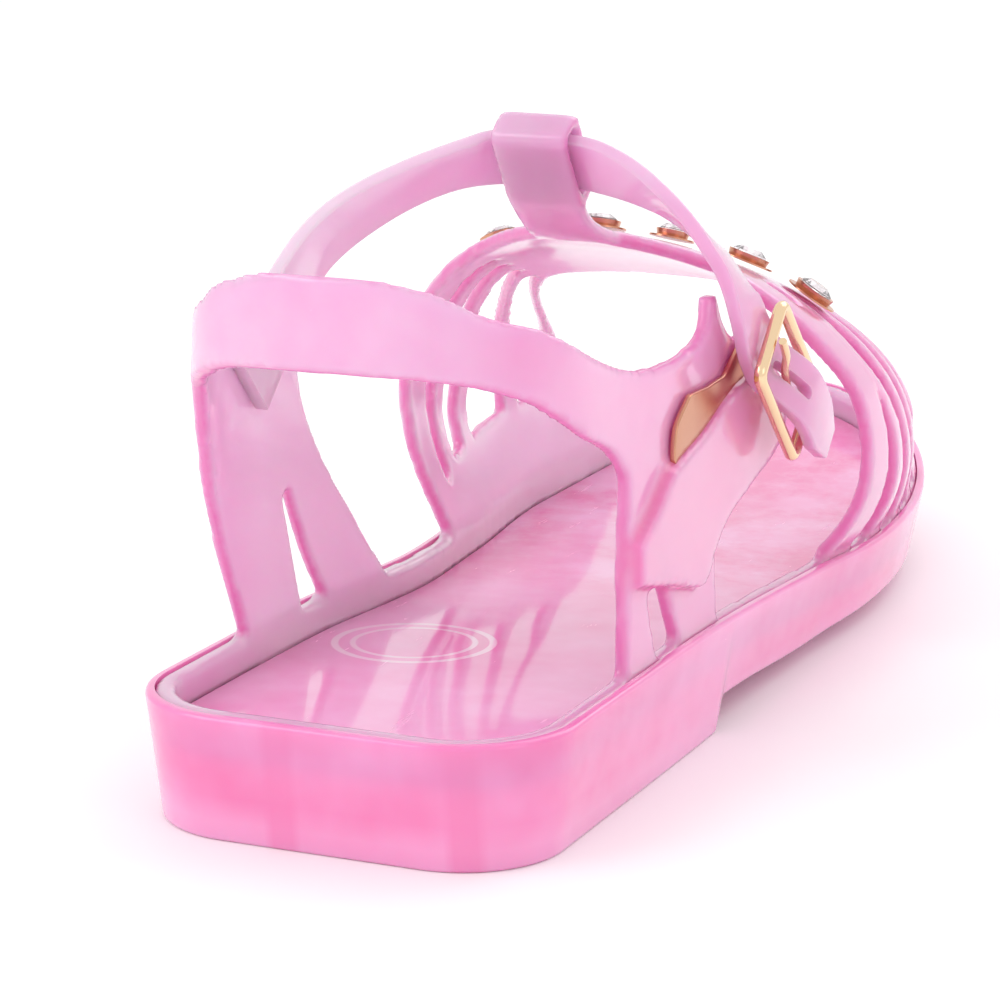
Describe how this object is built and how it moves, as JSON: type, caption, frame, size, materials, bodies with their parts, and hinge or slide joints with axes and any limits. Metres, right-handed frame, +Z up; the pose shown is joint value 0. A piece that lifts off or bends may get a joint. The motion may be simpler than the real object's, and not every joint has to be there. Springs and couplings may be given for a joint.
{
  "type": "jelly sandal",
  "caption": "Right-foot moulded jelly sandal: flat sole, caged vamp, open toe, heel strap and a buckled ankle strap.",
  "frame": {"origin": "on the floor plane under the middle of the heel's back edge", "axes": "+X to the outer side of the foot, +Y from heel to toe, +Z up"},
  "size_m": [0.0877, 0.2498, 0.1019],
  "materials": {
    "sole_jelly": "glossy",
    "insole_jelly": "glossy",
    "upper_jelly": "glossy",
    "gold_wire": "polished",
    "rose_metal": "polished",
    "clear_stone": "faceted"
  },
  "bodies": {
    "root": {"sole": "sole_jelly", "insole": "insole_jelly", "upper": "upper_jelly", "ankle_strap": "upper_jelly", "buckle_frame": "gold_wire", "buckle_prong": "gold_wire", "clasp_plate": "rose_metal", "setting_1": "rose_metal", "stone_1": "clear_stone", "setting_2": "rose_metal", "stone_2": "clear_stone", "setting_3": "rose_metal", "stone_3": "clear_stone", "setting_4": "rose_metal", "stone_4": "clear_stone", "setting_5": "rose_metal", "stone_5": "clear_stone", "setting_6": "rose_metal", "stone_6": "clear_stone"}
  },
  "joints": []
}
